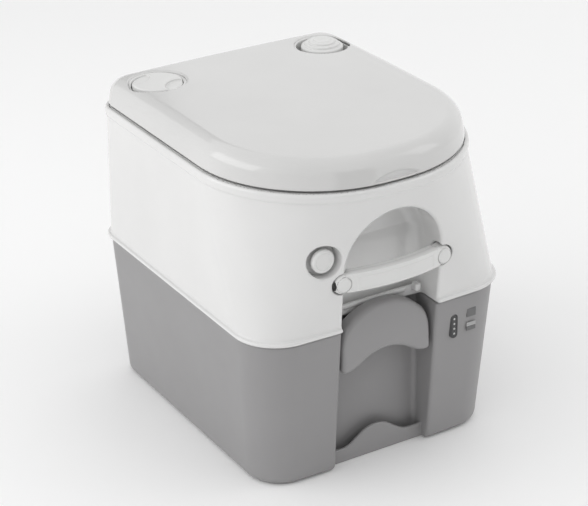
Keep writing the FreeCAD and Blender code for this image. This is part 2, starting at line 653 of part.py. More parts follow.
def make_handle():
    """The bowed carrying strap between two disc ends that turn on short pins."""
    centre_y = "strap_front_y + strap_radius"
    low, high = "handle_z - handle_radius + 1", "handle_z + handle_radius - 1"
    band = cut("StrapBand",
               cylinder("StrapOuter", "strap_radius", low, high, y=centre_y),
               cylinder("StrapInner", "strap_radius - strap_thick", 200, 300, y=centre_y))
    flange = cut("StrapFlange",
                 cylinder("FlangeOuter", "strap_radius - 2", high + " - 4", high, y=centre_y),
                 cylinder("FlangeInner", "strap_radius - strap_thick - 6", 200, 300, y=centre_y))
    window = box("StrapWindow", ("-channel_half + 1", "channel_half - 1"), (-210, -160), (200, 300))
    strap = common("Strap", fuse("StrapBody", band, flange), window)
    ends = [side_bar("StrapEnd" + name, sign, "handle_radius", "handle_x - 5", "handle_x + 4",
                     "handle_y", "handle_z")
            for name, sign in (("Right", ""), ("Left", "-"))]
    pins = [side_bar("StrapPin" + name, sign, "handle_pin", "handle_x", "handle_pin_x",
                     "handle_y", "handle_z")
            for name, sign in (("Right", ""), ("Left", "-"))]
    return fuse("carry_handle", strap, *ends, *pins)


# ---------------------------------------------------------------- seat and lid

def make_seat():
    """A D-shaped ring with two rear arms to the hinge."""
    slab = lofted("SeatSlab", ("lid", 11, "deck_z + 2.5"), ("lid", 11.5, "deck_z + 14"),
                  ("lid", 14, "deck_z + 18"), ("lid", 20, "deck_z + 20.5"))
    opening = oval_loft("SeatOpening", [(106, 101, -45, 367), (101, 96, -45, 360), (100, 95, -45, 340)],
                        0.0)
    rear = box("SeatRear", (-200, 200), (76, 250), (300, 400))
    ring_body = cut("SeatRing", slab, opening, rear)
    arms = []
    for name, low, high in (("Right", "50", "64"), ("Left", "-64", "-50")):
        arms.append(padded("SeatArm" + name, "YZ_Plane", [
            (70, "deck_z + 4"), (172, "deck_z + 7"), ("hinge_y + 1.5", "hinge_z - 5.2"),
            ("hinge_y - 1.5", "hinge_z + 5.2"), (165, "hinge_z - 2"), (70, "deck_z + 18")], low, high))
        arms.append(cylinder("SeatEye" + name, "eye_radius", low, high,
                             y="hinge_y", z="hinge_z", axis="X"))
    bore = cylinder("SeatBore", "pin_radius + fit", -100, 100, y="hinge_y", z="hinge_z", axis="X")
    pad_bores = [cylinder("SeatPadHole%d" % number, 5, 340, "deck_z + 5", x=x, y=y)
                 for number, (x, y) in enumerate(SEAT_PADS)]
    return cut("seat", fuse("SeatBody", ring_body, *arms), bore, *pad_bores)


SEAT_PADS = [(122, -80), (122, 50), (-122, -80), (-122, 50)]
LID_PADS = [(100, -115), (-100, -115)]


def make_bumpers():
    seat_pads = [cylinder("SeatPad%d" % number, 5, "deck_z + 0.3", "deck_z + 5", x=x, y=y)
                 for number, (x, y) in enumerate(SEAT_PADS)]
    lid_pads = [cylinder("LidPad%d" % number, 5, "deck_z + 20.8", "lid_top_z - wall", x=x, y=y)
                for number, (x, y) in enumerate(LID_PADS)]
    return [group("seat_bumpers", *seat_pads), group("lid_bumpers", *lid_pads)]


def make_lid():
    """A deep dished cover with a finger scoop in front and two round holes behind."""
    steps = [(0, "lid_foot_z"), (4, "lid_side_z"), (7.5, "lid_shoulder_z"), (11, "lid_edge_z"),
             (20, "lid_top_z")]
    outer = lofted("LidOuter", *[("lid", inset, height) for inset, height in steps])
    inner = lofted("LidInner", ("lid", "wall", "lid_foot_z - 5"),
                   *[("lid", "%s + wall" % inset, "%s - wall" % height) for inset, height in steps])
    holes = [cylinder("LidHole" + name, "lid_hole_radius", 340, 400, x=sign + "tower_x", y="tower_y")
             for name, sign in (("Right", ""), ("Left", "-"))]
    finger = cylinder("FingerScoop", "scoop_radius", -210, "scoop_back_y", z="scoop_z", axis="Y")
    finger_skin = cylinder("FingerSkin", "scoop_radius + wall", -210, "scoop_back_y + wall",
                           z="scoop_z", axis="Y")
    rear_cut = box("RearCut", (-140, 140), ("hinge_y - 10", 210), (340, "lid_foot_z + 6"))
    notches = [side_box("HingeNotch" + name, sign, 46, 81.5, ("hinge_y - 8", 210), (340, 390))
               for name, sign in (("Right", ""), ("Left", "-"))]
    shell = cut("LidShell", outer, cut("LidRoom", inner, finger_skin), *holes, finger, rear_cut,
                *notches)
    ears = []
    for name, low, high in (("Right", "82", "92"), ("Left", "-92", "-82")):
        ears.append(padded("LidEar" + name, "YZ_Plane", [
            (167, "lid_top_z - wall"), (174, "lid_top_z - wall - 4"), (182, "hinge_z - 3"),
            ("hinge_y + 1.5", "hinge_z - 5.2"), ("hinge_y + 0.5", "hinge_z + 5.4"),
            (176, "lid_edge_z - 0.5"), (168, "lid_top_z - 1")], low, high))
        ears.append(cylinder("LidEye" + name, "eye_radius", low, high,
                             y="hinge_y", z="hinge_z", axis="X"))
    bore = cylinder("LidBore", "pin_radius + fit", -100, 100, y="hinge_y", z="hinge_z", axis="X")
    return cut("lid", fuse("LidBody", shell, *ears), bore)


def make_hinge_pins():
    pins = [side_bar("HingePin" + name, sign, "pin_radius", 50.5, 91.5, "hinge_y", "hinge_z")
            for name, sign in (("Right", ""), ("Left", "-"))]
    return group("hinge_pins", *pins)


# ---------------------------------------------------------------- the whole toilet

def build():
    tank = make_tank()
    float_bracket = group("float_bracket",
                          box("BracketRight", ("gauge_x + 3.5", "gauge_x + 6"), (-168.5, "float_y + 5"),
                              ("float_z - 4", "float_z + 4")),
                          box("BracketLeft", ("gauge_x - 6", "gauge_x - 3.5"), (-168.5, "float_y + 5"),
                              ("float_z - 4", "float_z + 4")))
    pin = cylinder("float_pin", 2, "gauge_x - 6", "gauge_x + 6", y="float_y", z="float_z", axis="X")
    bracket = fuse("gauge_bracket", float_bracket, pin)
    springs = [
        make_spring("vent_spring", 6.2, 0.6, 2.4, "vent_x", "vent_y", "tank_top_z - 11.2", "Z"),
        make_spring("button_spring", 8, 0.6, 1.8, "button_x", "button_front_y + 8", "button_z", "Y"),
    ]
    pieces = [tank, bracket, make_valve_housing(), make_rest_pads(), make_blade(),
              make_grip(), make_spout(), make_vent(), make_casing(), make_deck_bowl(),
              make_water_floor(), make_handle(), make_seat(), make_lid(), make_hinge_pins()]
    for more in (springs, make_gauge(), make_valve_seals(), make_spout_cap(), make_float(), make_filler(),
                 make_pump(), make_flush(), make_bumpers()):
        pieces.extend(more)
    return pieces


def check_and_write(pieces):
    """Stop on any failed feature, then write one file for each piece."""
    failed = [item.Label for item in doc.Objects
              if "Invalid" in item.State or "Error" in item.State]
    if failed:
        raise RuntimeError("failed features: " + ", ".join(failed))
    for piece in pieces:
        if piece.Shape.isNull() or not piece.Shape.isValid():
            raise RuntimeError("bad shape: " + piece.Label)
    os.makedirs("parts", exist_ok=True)
    for piece in pieces:
        piece.Shape.exportStep("parts/" + piece.Label + ".step")


fill_sheet()
toilet = build()
doc.recompute()
check_and_write(toilet)
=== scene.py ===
import math

import bpy
import numpy as np
from mathutils import Matrix, Vector


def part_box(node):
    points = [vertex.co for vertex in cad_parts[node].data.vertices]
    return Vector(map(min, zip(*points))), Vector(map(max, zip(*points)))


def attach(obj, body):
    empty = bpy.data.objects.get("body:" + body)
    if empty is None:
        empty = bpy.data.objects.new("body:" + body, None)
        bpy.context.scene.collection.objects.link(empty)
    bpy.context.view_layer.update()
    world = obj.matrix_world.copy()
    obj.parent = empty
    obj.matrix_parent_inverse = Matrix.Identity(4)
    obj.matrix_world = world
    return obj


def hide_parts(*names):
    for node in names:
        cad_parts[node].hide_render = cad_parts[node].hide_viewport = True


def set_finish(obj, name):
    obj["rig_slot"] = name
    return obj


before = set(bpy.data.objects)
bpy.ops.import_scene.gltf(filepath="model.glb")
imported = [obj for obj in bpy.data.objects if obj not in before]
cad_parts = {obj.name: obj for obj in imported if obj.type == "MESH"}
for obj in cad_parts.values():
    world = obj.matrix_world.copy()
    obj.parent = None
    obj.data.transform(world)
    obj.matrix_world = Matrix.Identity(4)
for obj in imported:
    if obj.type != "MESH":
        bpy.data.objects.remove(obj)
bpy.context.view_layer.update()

MM = 0.001


# ---------------------------------------------------------------- reading the frame

def node_box(name):
    """A node's lowest and highest corners in millimetres."""
    low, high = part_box(name)
    return np.array(low) / MM, np.array(high) / MM


def middle(name):
    low, high = node_box(name)
    return (low + high) / 2


# ---------------------------------------------------------------- distance fields
# Each shape is a function of x, y, z in millimetres: negative inside, positive outside.

def both(a, b, r=0.01):
    """What is inside both, with the edge between them rounded to radius r."""
    return np.minimum(-r, np.maximum(a, b)) + np.hypot(np.maximum(r + a, 0), np.maximum(r + b, 0))


def either(a, b, r=0.01):
    """What is inside either, with the corner between them filled to radius r."""
    return -both(-a, -b, r)


def without(a, b, r=0.01):
    """What is inside a and outside b, with the edge rounded to radius r."""
    return both(a, -b, r)


def slab(value, low, high):
    """What lies between two parallel planes."""
    return np.abs(value - (low + high) / 2) - (high - low) / 2


def block(x, y, z, low, high, r=0.01):
    """A box from low to high with edges of radius r."""
    qx = slab(x, low[0] + r, high[0] - r)
    qy = slab(y, low[1] + r, high[1] - r)
    qz = slab(z, low[2] + r, high[2] - r)
    outside = np.sqrt(np.maximum(qx, 0) ** 2 + np.maximum(qy, 0) ** 2 + np.maximum(qz, 0) ** 2)
    return outside + np.minimum(np.maximum(np.maximum(qx, qy), qz), 0) - r


def outline(x, y, half, front, rear, corner, bow, back):
    """The plan of the toilet: straight sides, bowed front, round corners."""
    ax = np.abs(x)
    bow_y = front + bow
    side_y = bow_y - np.sqrt((bow - corner) ** 2 - (half - corner) ** 2)
    in_bow = ax * (bow_y - side_y) < (bow_y - y) * (half - corner)
    bow_part = np.hypot(ax, y - bow_y) - bow
    corner_part = np.hypot(ax - (half - corner), y - side_y) - corner
    qx = ax - (half - back)
    qy = y - (rear - back)
    rear_part = (np.hypot(np.maximum(qx, 0), np.maximum(qy, 0))
                 + np.minimum(np.maximum(qx, qy), 0) - back)
    return np.where(y > side_y, rear_part, np.where(in_bow, bow_part, corner_part))


def oval(x, y, half_x, half_y, centre_y):
    """First-order distance to an upright oval cylinder."""
    u, v = x / half_x, (y - centre_y) / half_y
    k = np.hypot(u, v) + 1e-6
    return (k - 1) * k / (np.hypot(u / half_x, v / half_y) + 1e-9)


def smooth_steps(z, heights, values):
    """Values between heights, joined by a smooth curve through all of them."""
    heights, values = np.asarray(heights, float), np.asarray(values, float)
    slopes = np.gradient(values, heights)
    index = np.clip(np.searchsorted(heights, z) - 1, 0, len(heights) - 2)
    width = heights[index + 1] - heights[index]
    t = np.clip((z - heights[index]) / width, 0, 1)
    return ((2 * t ** 3 - 3 * t ** 2 + 1) * values[index]
            + (t ** 3 - 2 * t ** 2 + t) * width * slopes[index]
            + (3 * t ** 2 - 2 * t ** 3) * values[index + 1]
            + (t ** 3 - t ** 2) * width * slopes[index + 1])


def ramp(value, start, end):
    """Nought at the start, rising smoothly to one at the end."""
    t = np.clip((value - start) / (end - start), 0, 1)
    return t * t * (3 - 2 * t)


# ---------------------------------------------------------------- meshing a field

def field_gradient(field, points, reach=0.05):
    columns = []
    for axis in range(3):
        shift = np.zeros(3)
        shift[axis] = reach
        ahead = field(*(points + shift).T)
        behind = field(*(points - shift).T)
        columns.append((ahead - behind) / (2 * reach))
    return np.stack(columns, axis=1)


def settle(field, points, step, rounds):
    """Move points onto the field's zero surface."""
    for _ in range(rounds):
        slope = field_gradient(field, points)
        size = np.maximum((slope ** 2).sum(axis=1), 0.05)
        move = (field(*points.T) / size)[:, None] * slope
        length = np.linalg.norm(move, axis=1, keepdims=True)
        points = points - move * np.minimum(1, 0.7 * step / np.maximum(length, 1e-9))
    return points


def mesh_field(field, low, high, step, relax=3):
    """Vertices, quads and normals of a field's surface, by surface nets on a grid."""
    low = np.asarray(low, float) - 1.5 * step
    high = np.asarray(high, float) + 1.5 * step
    axes = [np.arange(low[i], high[i] + step, step) for i in range(3)]
    nx, ny, nz = (len(axis) for axis in axes)
    values = np.empty((nx, ny, nz), np.float32)
    for first in range(0, nx, 16):
        xs = axes[0][first:first + 16]
        grid = np.meshgrid(xs, axes[1], axes[2], indexing="ij")
        values[first:first + 16] = field(*grid)
    inside = values < 0
    count = np.zeros((nx - 1, ny - 1, nz - 1), np.int8)
    for dx in (0, 1):
        for dy in (0, 1):
            for dz in (0, 1):
                count += inside[dx:nx - 1 + dx, dy:ny - 1 + dy, dz:nz - 1 + dz]
    active = (count > 0) & (count < 8)
    cells = np.argwhere(active)
    index = -np.ones(active.shape, np.int64)
    index[tuple(cells.T)] = np.arange(len(cells))
    points = np.zeros((len(cells), 3))
    hits = np.zeros(len(cells))
    for axis in range(3):
        others = [i for i in range(3) if i != axis]
        for a in (0, 1):
            for b in (0, 1):
                start = cells.copy()
                start[:, others[0]] += a
                start[:, others[1]] += b
                end = start.copy()
                end[:, axis] += 1
                va, vb = values[tuple(start.T)], values[tuple(end.T)]
                crossed = (va < 0) != (vb < 0)
                t = np.where(crossed, va / np.where(crossed, va - vb, 1), 0)
                spot = start.astype(float)
                spot[:, axis] += t
                points += spot * crossed[:, None]
                hits += crossed
    points = low + points / hits[:, None] * step
    quads = []
    for axis in range(3):
        u, v = [i for i in range(3) if i != axis]
        first = np.take(inside, range(inside.shape[axis] - 1), axis)
        second = np.take(inside, range(1, inside.shape[axis]), axis)
        edges = np.argwhere(first != second)
        keep = (edges[:, u] > 0) & (edges[:, v] > 0)
        keep &= (edges[:, u] < values.shape[u] - 1) & (edges[:, v] < values.shape[v] - 1)
        edges = edges[keep]
        going_out = first[tuple(edges.T)]
        ring = []
        for a, b in ((0, 0), (-1, 0), (-1, -1), (0, -1)):
            cell = edges.copy()
            cell[:, u] += a
            cell[:, v] += b
            ring.append(index[tuple(cell.T)])
        faces = np.stack(ring, axis=1)
        flip = going_out if axis == 1 else ~going_out
        faces[flip] = faces[flip][:, ::-1]
        quads.append(faces)
    quads = np.concatenate(quads)
    points = settle(field, points, step, 3)
    links = np.concatenate([quads[:, [0, 1]], quads[:, [1, 2]], quads[:, [2, 3]], quads[:, [3, 0]]])
    degree = np.bincount(links.ravel(), minlength=len(points))[:, None]
    for _ in range(relax):
        total = np.zeros_like(points)
        for axis in range(3):
            total[:, axis] = (np.bincount(links[:, 0], points[links[:, 1], axis], len(points))
                              + np.bincount(links[:, 1], points[links[:, 0], axis], len(points)))
        points = settle(field, points + 0.6 * (total / degree - points), step, 2)
    points = settle(field, points, step, 2)
    normals = field_gradient(field, points, 0.15)
    normals /= np.linalg.norm(normals, axis=1, keepdims=True) + 1e-9
    return points, quads, normals


def add_mesh(name, points, faces, normals=None):
    """A smooth mesh object from points in millimetres."""
    mesh = bpy.data.meshes.new(name)
    mesh.from_pydata((np.asarray(points) * MM).tolist(), [], np.asarray(faces).tolist())
    mesh.validate()
    mesh.update()
    mesh.shade_smooth()
    if normals is not None and len(mesh.vertices) == len(normals):
        mesh.normals_split_custom_set_from_vertices(np.asarray(normals).tolist())
    piece = bpy.data.objects.new(name, mesh)
    bpy.context.scene.collection.objects.link(piece)
    return piece


def add_field(name, field, low, high, step, relax=3):
    return add_mesh(name, *mesh_field(field, low, high, step, relax))


def stand_for(piece, body, material, slot, *nodes):
    """Give a piece its material, body, slot and the CAD nodes it replaces."""
    piece.data.materials.clear()
    piece.data.materials.append(material)
    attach(piece, body)
    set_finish(piece, slot)
    if nodes:
        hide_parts(*nodes)
    return piece


# ---------------------------------------------------------------- outlines seen from above
# half width, front, rear, front corner, front bow, rear corner

GROUND = (149.0, -163.0, 187.4, 43.0, 3000.0, 29.5)
TANK_TOP = (161.0, -179.0, 191.4, 50.0, 3000.0, 31.0)
LIP = (165.0, -183.0, 195.4, 53.0, 3000.0, 33.0)
CASING_FOOT = (161.5, -179.5, 191.9, 51.0, 3000.0, 31.0)
CREASE = (158.0, -193.9, 192.9, 146.0, 612.0, 33.0)
RIM = (159.4, -195.3, 194.3, 147.7, 613.7, 34.7)
LID = (155.7, -191.7, 190.6, 144.0, 610.0, 31.0)


def column(x, y, z, heights, levels, inset=0.0):
    """An upright wall whose outline changes evenly between the given heights."""
    sizes = [np.interp(z, heights, values) for values in zip(*levels)]
    return outline(x, y, *sizes) + inset


def rod(a, b, radius):
    """A round bar along the third axis, from two distances to its centre line."""
    return np.hypot(a, b) - radius


WALL = 3.6
TANK_TOP_Z = node_box("tank_shell")[1][2]
CASING_LOW_Z = node_box("upper_casing")[0][2]
LID_LOW, LID_HIGH = node_box("lid")
DECK_Z = 345.5
CREASE_Z = 334.3
LIP_TOP_Z = 187.5
DECK_UNDER_Z = 342.5
BUTTON = middle("flush_button")
CAP = middle("filler_cap")
HINGE = middle("hinge_pins")
KNOB = middle("pump_knob")
VENT = middle("vent_button")

CHANNEL_HALF, CHANNEL_BACK_Y = 61.0, -136       # the front channel that holds the grip
BAY_HALF, BAY_FRONT_Y, BAY_FLOOR_Z = 115, 134, 120      # the rear bay that holds the spout
FAR_Y, FAR_Z = 260, 300                         # beyond the tank, where its cutters end
SPOUT_X, SPOUT_Y, SPOUT_Z, SPOUT_RADIUS = 85.0, 165.0, 150.0, 21
NICHE_ARCH_Z = 254
BAR_FRONT_Y, BAR_TOP_Z = -147.6, 195
STRAP_X, STRAP_Y, STRAP_Z = 63.5, -178.0, 242.0         # where the strap's ends turn
STRAP_FRONT_Y, STRAP_BOW = -194.9, 231.8
TOWER_X, TOWER_Y, TOWER_RADIUS = 109.5, 131.5, 34.4     # round the filler and the pump
EYE, EYE_BORE = 5.4, 2.8                        # hinge eyes and the holes for the pin
POST_X = (68, 80)                               # hinge posts, seat arms and lid ears
ARM_X = (50, 64)
EAR_X = (82, 92)
SEAT_MIDDLE_Z = 356.5
SEAT_PAD_X, SEAT_PAD_Y = 122, (-80, 50)


def upright_rod(x, y, spot, radius):
    """A round bar along Z at the given spot."""
    return rod(x - spot[0], y - spot[1], radius)


def button_rod(x, z, radius):
    """A round bar along Y on the flush button's centre line."""
    return rod(x - BUTTON[0], z - BUTTON[2], radius)


def spout_rod(y, z, radius):
    """A round bar along X on the centre line of the spout's level run."""
    return rod(y - SPOUT_Y, z - SPOUT_Z, radius)


def strap_rod(y, z, radius):
    """A round bar along X on the line that the strap turns about."""
    return rod(y - STRAP_Y, z - STRAP_Z, radius)


def hinge_rod(x, y, z, radius, reach):
    """A round bar along X on the hinge line, over the given stretch of x."""
    return rod(y - HINGE[1], z - HINGE[2], radius), slab(x, *reach)


def ball(x, y, z, centre, radius):
    return np.sqrt((x - centre[0]) ** 2 + (y - centre[1]) ** 2 + (z - centre[2]) ** 2) - radius


# ---------------------------------------------------------------- waste tank

def tank_field(x, y, z):
    side = column(x, y, z, (0, TANK_TOP_Z), (GROUND, TANK_TOP))
    outer = both(both(side, -z, 9), z - TANK_TOP_Z, 2)
    room = both(side + WALL, slab(z, WALL, TANK_TOP_Z - WALL), 8)
    channel_skin = block(x, y, z, (-CHANNEL_HALF - WALL, -FAR_Y, -50),
                         (CHANNEL_HALF + WALL, CHANNEL_BACK_Y + WALL, FAR_Z), 7)
    bay_skin = block(x, y, z, (-BAY_HALF - WALL, BAY_FRONT_Y - WALL, BAY_FLOOR_Z - WALL),
                     (BAY_HALF + WALL, FAR_Y, FAR_Z), 7)
    vent_skin = both(upright_rod(x, y, VENT, 14.5), 161 - z, 1)
    room = without(without(without(room, channel_skin, 3), bay_skin, 3), vent_skin, 2)
    shell = without(outer, room, 0.5)
    channel = block(x, y, z, (-CHANNEL_HALF, -FAR_Y, -50), (CHANNEL_HALF, CHANNEL_BACK_Y, FAR_Z), 5)
    shell = without(shell, channel, 3.5)
    bay = block(x, y, z, (-BAY_HALF, BAY_FRONT_Y, BAY_FLOOR_Z), (BAY_HALF, FAR_Y, FAR_Z), 5)
    shell = without(shell, bay, 3)
    inlet = both(rod(x, y, 38), 150 - z)
    shell = without(shell, inlet, 1.2)
    spout_hole = both(rod(x - SPOUT_X, y - SPOUT_Y, 20.2), slab(z, 100, 140))
    shell = without(shell, spout_hole, 0.8)
    shell = without(shell, both(upright_rod(x, y, VENT, 11), 169 - z, 1), 1.2)
    shell = without(shell, both(upright_rod(x, y, VENT, 3.3), 150 - z), 0.4)
    blade_slot = block(x, y, z, (-30.6, -139, 167.8), (30.6, -131, 172.8))
    shell = without(shell, blade_slot, 0.4)
    lip_half = CHANNEL_HALF + 1
    floor = block(x, y, z, (-lip_half, -150, 0), (lip_half, -134, 5), 0.8)
    wave = either(z - 17, rod(x, z - 4, 32), 14)
    lip = both(both(both(wave, slab(y, -150.6, -146.4), 1.6), -z, 0.8), np.abs(x) - lip_half)
    return either(either(shell, floor, 1.5), lip, 1.2)


def grip_field(x, y, z):
    """The valve's pull: an arched plate with a scoop below, hollow at the back."""
    low, high = node_box("valve_grip")
    arch = 72
    face = both(rod(x, z - (high[2] - arch), arch), np.abs(x) - high[0], 9)
    face = both(face, low[2] - z, 5)
    finger_room = rod(x, z - 86.4, 55.6)
    face = without(face, finger_room, 8)
    crown = low[1] + 0.0016 * (z - low[2]) ** 2 * (z > low[2])
    solid = both(both(face, crown - y, 5.5), y - high[1], 0.8)
    room = both(both(face + 3.6, low[1] + 7.5 - y, 5), y - high[1] - 9)
    return without(solid, room, 0.8)


def oval_bar(x, z, centre, radius, reach):
    """An upright slot shape: a line of half length reach, widened by radius."""
    return np.hypot(x - centre[0], np.maximum(np.abs(z - centre[2]) - reach, 0)) - radius


def lens_field(x, y, z):
    low, high = node_box("gauge_lens")
    centre = (low + high) / 2
    face = both(oval_bar(x, z, centre, 5, 10), low[1] - y, 1.2)
    groove = np.abs(oval_bar(x, z, centre, 3.6, 10)) - 0.4
    face = without(face, both(groove, y - low[1] - 0.5), 0.2)
    return both(face, y - high[1], 0.3)


def spout_field(x, y, z):
    low, high = node_box("pour_spout")
    run = spout_rod(y, z, SPOUT_RADIUS)
    rise = rod(x - SPOUT_X, y - SPOUT_Y, SPOUT_RADIUS)
    knee = ball(x, y, z, (SPOUT_X, SPOUT_Y, SPOUT_Z), SPOUT_RADIUS)
    pipe = either(both(run, slab(x, low[0], SPOUT_X), 0.4),
                  both(rise, slab(z, BAY_FLOOR_Z + 0.4, SPOUT_Z), 0.4), 1)
    pipe = either(pipe, knee, 0.5)
    neck = both(rod(x - SPOUT_X, y - SPOUT_Y, 19.8), slab(z, low[2], 125), 0.6)
    pipe = either(pipe, neck, 0.4)
    pipe_wall = 3.5
    bore = either(both(run + pipe_wall, slab(x, low[0] - 9, SPOUT_X)),
                  both(rise + pipe_wall, slab(z, 90, SPOUT_Z)), 1)
    return without(pipe, either(bore, knee + pipe_wall, 0.5), 0.6)


def spout_cap_field(x, y, z):
    low, high = node_box("spout_cap")
    turn = np.arctan2(z - SPOUT_Z, y - SPOUT_Y)
    rib_count, rib_height = 24, 0.45
    ribs = rib_height * np.cos(rib_count * turn) * ramp(x, low[0] + 2, low[0] + 5)
    shell = both(spout_rod(y, z, 25.5) - ribs, slab(x, low[0], high[0]), 1.6)
    return without(shell, both(spout_rod(y, z, 21.3), low[0] + 3 - x, 0.5), 0.5)


# ---------------------------------------------------------------- upper unit

def niche_shape(x, y, z, grow=0.0):
    """The arched recess in the front; its back leans forward above a crease."""
    arch = np.where(z > NICHE_ARCH_Z, rod(x, z - NICHE_ARCH_Z, CHANNEL_HALF),
                    np.abs(x) - CHANNEL_HALF) - grow
    back = y + 138 - grow + 0.22 * np.maximum(z - 268, 0)
    return both(arch, back, 16 + grow)


def casing_field(x, y, z):
    side = column(x, y, z, (LIP_TOP_Z, CREASE_Z), (CASING_FOOT, CREASE))
    rim = both(outline(x, y, *RIM), slab(z, CREASE_Z + 0.2, DECK_Z), 3.2)
    lip = both(outline(x, y, *LIP), slab(z, CASING_LOW_Z, LIP_TOP_Z), 2.2)
    outer = either(both(side, slab(z, CASING_LOW_Z, DECK_Z), 1), rim, 1.0)
    outer = either(outer, lip, 2.0)
    room = side + WALL
    room = without(room, niche_shape(x, y, z, WALL), 3)
    room = without(room, both(button_rod(x, z, 22), y + 162.5, 2), 3)
    for sign in (-1, 1):
        sleeve = both(strap_rod(y, z, 16), slab(sign * x, 55, 78), 2)
        room = without(room, sleeve, 3)
    shell = without(outer, room, 0.6)
    shell = without(shell, both(niche_shape(x, y, z), 170 - z), 3.2)
    shell = without(shell, both(button_rod(x, z, 18.5), y + 166, 2), 2.4)
    shell = without(shell, both(button_rod(x, z, 4.3), y + 150), 0.5)
    for sign in (-1, 1):
        socket = ball(sign * x, y, z, (STRAP_X, STRAP_Y, STRAP_Z), 13.2)
        shell = without(shell, socket, 1.4)
        shell = without(shell, both(strap_rod(y, z, 2.8), slab(sign * x, 60, 73)), 0.4)
    bar_half = CHANNEL_HALF + 1
    bar = block(x, y, z, (-bar_half, BAR_FRONT_Y, CASING_LOW_Z), (bar_half, -143.6, BAR_TOP_Z), 1.4)
    bead = block(x, y, z, (-61, -149.0, 190), (40, -146, BAR_TOP_Z), 1.4)
    floor = block(x, y, z, (-bar_half, BAR_FRONT_Y, CASING_LOW_Z), (bar_half, -136, 185.5), 1)
    lug = block(x, y, z, (48, -156.6, 189), (56, -146, 199), 2.5)
    for more in (bar, bead, floor, lug):
        shell = either(shell, more, 1.2)
    for sign in (-1, 1):
        stem = block(sign * x, y, z, (POST_X[0], HINGE[1] - EYE, 341),
                     (POST_X[1], HINGE[1] + EYE, HINGE[2]), 1)
        eye = both(*hinge_rod(sign * x, y, z, EYE, POST_X), 1)
        shell = either(shell, either(stem, eye, 1.5), 2)
        shell = without(shell, both(*hinge_rod(sign * x, y, z, EYE_BORE, (60, 90))), 0.4)
    return shell


BOWL_Z = (181.0, 184.3, 205.0, 250.0, 313.0, 345.5)
BOWL_HALF_X = (39.8, 40.0, 46.0, 68.0, 97.0, 108.0)
BOWL_HALF_Y = (39.8, 40.0, 43.0, 61.0, 84.0, 103.0)
BOWL_CENTRE = (0.0, 0.0, -6.0, -24.0, -39.0, -45.0)
TOWER_Z = (DECK_UNDER_Z, 363, 371, 375.5, 377.8)        # the towers stay inside the lid by this much
TOWER_INSET = (6.8, 10.3, 13.8, 19.3, 30.3)


def deck_field(x, y, z):
    bowl = oval(x, y, smooth_steps(z, BOWL_Z, BOWL_HALF_X), smooth_steps(z, BOWL_Z, BOWL_HALF_Y),
                smooth_steps(z, BOWL_Z, BOWL_CENTRE))
    plate = both(outline(x, y, *CREASE) + 3.8, slab(z, DECK_UNDER_Z, DECK_Z), 0.8)
    body = either(plate, both(bowl - 3, slab(z, 184.3, DECK_Z), 0.8), 3)
    room = outline(x, y, *LID) + np.interp(z, TOWER_Z, TOWER_INSET)
    for sign in (-1, 1):
        tower = both(rod(x - sign * TOWER_X, y - TOWER_Y, TOWER_RADIUS),
                     slab(z, DECK_UNDER_Z, 376.7), 2.5)
        body = either(body, both(tower, room, 1), 2.5)
    body = without(body, bowl, 2.5)
    body = without(body, both(upright_rod(x, y, KNOB, 30.5), 346.5 - z, 1.5), 1.6)
    body = without(body, both(upright_rod(x, y, KNOB, 17.3), 300 - z), 0.5)
    body = without(body, both(upright_rod(x, y, CAP, 29.6), 359.5 - z, 1), 1.6)
    body = without(body, both(upright_rod(x, y, CAP, 22.3), 300 - z), 0.5)
    nozzle_hole = both(rod(x, z - (DECK_Z - 11), 4.2), slab(y, 30, 75))
    body = without(body, nozzle_hole, 0.5)
    for sign in (-1, 1):
        post_notch = block(sign * x, y, z, (POST_X[0] - 0.3, 182, 330), (POST_X[1] + 0.3, 230, 360))
        body = without(body, post_notch, 0.4)
    return body


def seat_field(x, y, z):
    side = outline(x, y, *LID) + 11.3
    slope = np.interp(z, (348, 359.5, 363.5, 366), (0, 0.8, 3, 9))
    ring = both(both(side + slope, slab(z, 348, 366), 3), y - 76, 6)
    flare = 6 * ramp(z, 352, 367)
    ring = without(ring, oval(x, y, 100 + flare, 95 + flare, -45), 6)
    for sign in (-1, 1):
        along = ramp(y, 150, HINGE[1])
        mid = SEAT_MIDDLE_Z + (HINGE[2] - SEAT_MIDDLE_Z) * along
        arm = both(both(slab(sign * x, *ARM_X), np.abs(z - mid) - 5.8 + 0.6 * along, 1.5),
                   slab(y, 60, HINGE[1]), 1)
        arm = either(arm, both(*hinge_rod(sign * x, y, z, EYE, ARM_X), 1), 1.5)
        ring = either(ring, arm, 4)
        ring = without(ring, both(*hinge_rod(sign * x, y, z, EYE_BORE, (40, 70))), 0.4)
        for pad_y in SEAT_PAD_Y:
            socket = both(rod(sign * x - SEAT_PAD_X, y - pad_y, 5.2), z - 350.6)
            ring = without(ring, socket, 0.3)
    return ring


def lid_shape(x, y, z, inset=0.0):
    """The dished cover: leaning sides, a round shoulder and a slightly domed top."""
    side = column(x, y, z, (346.5, 366), (LID, LID)) + 0.2 * (z - 346.5) + inset
    top = z - (LID_HIGH[2] - 0.3 - 7e-5 * (x * x + (y + 10) ** 2)) + inset
    return both(side, top, 15 - 0.8 * inset)


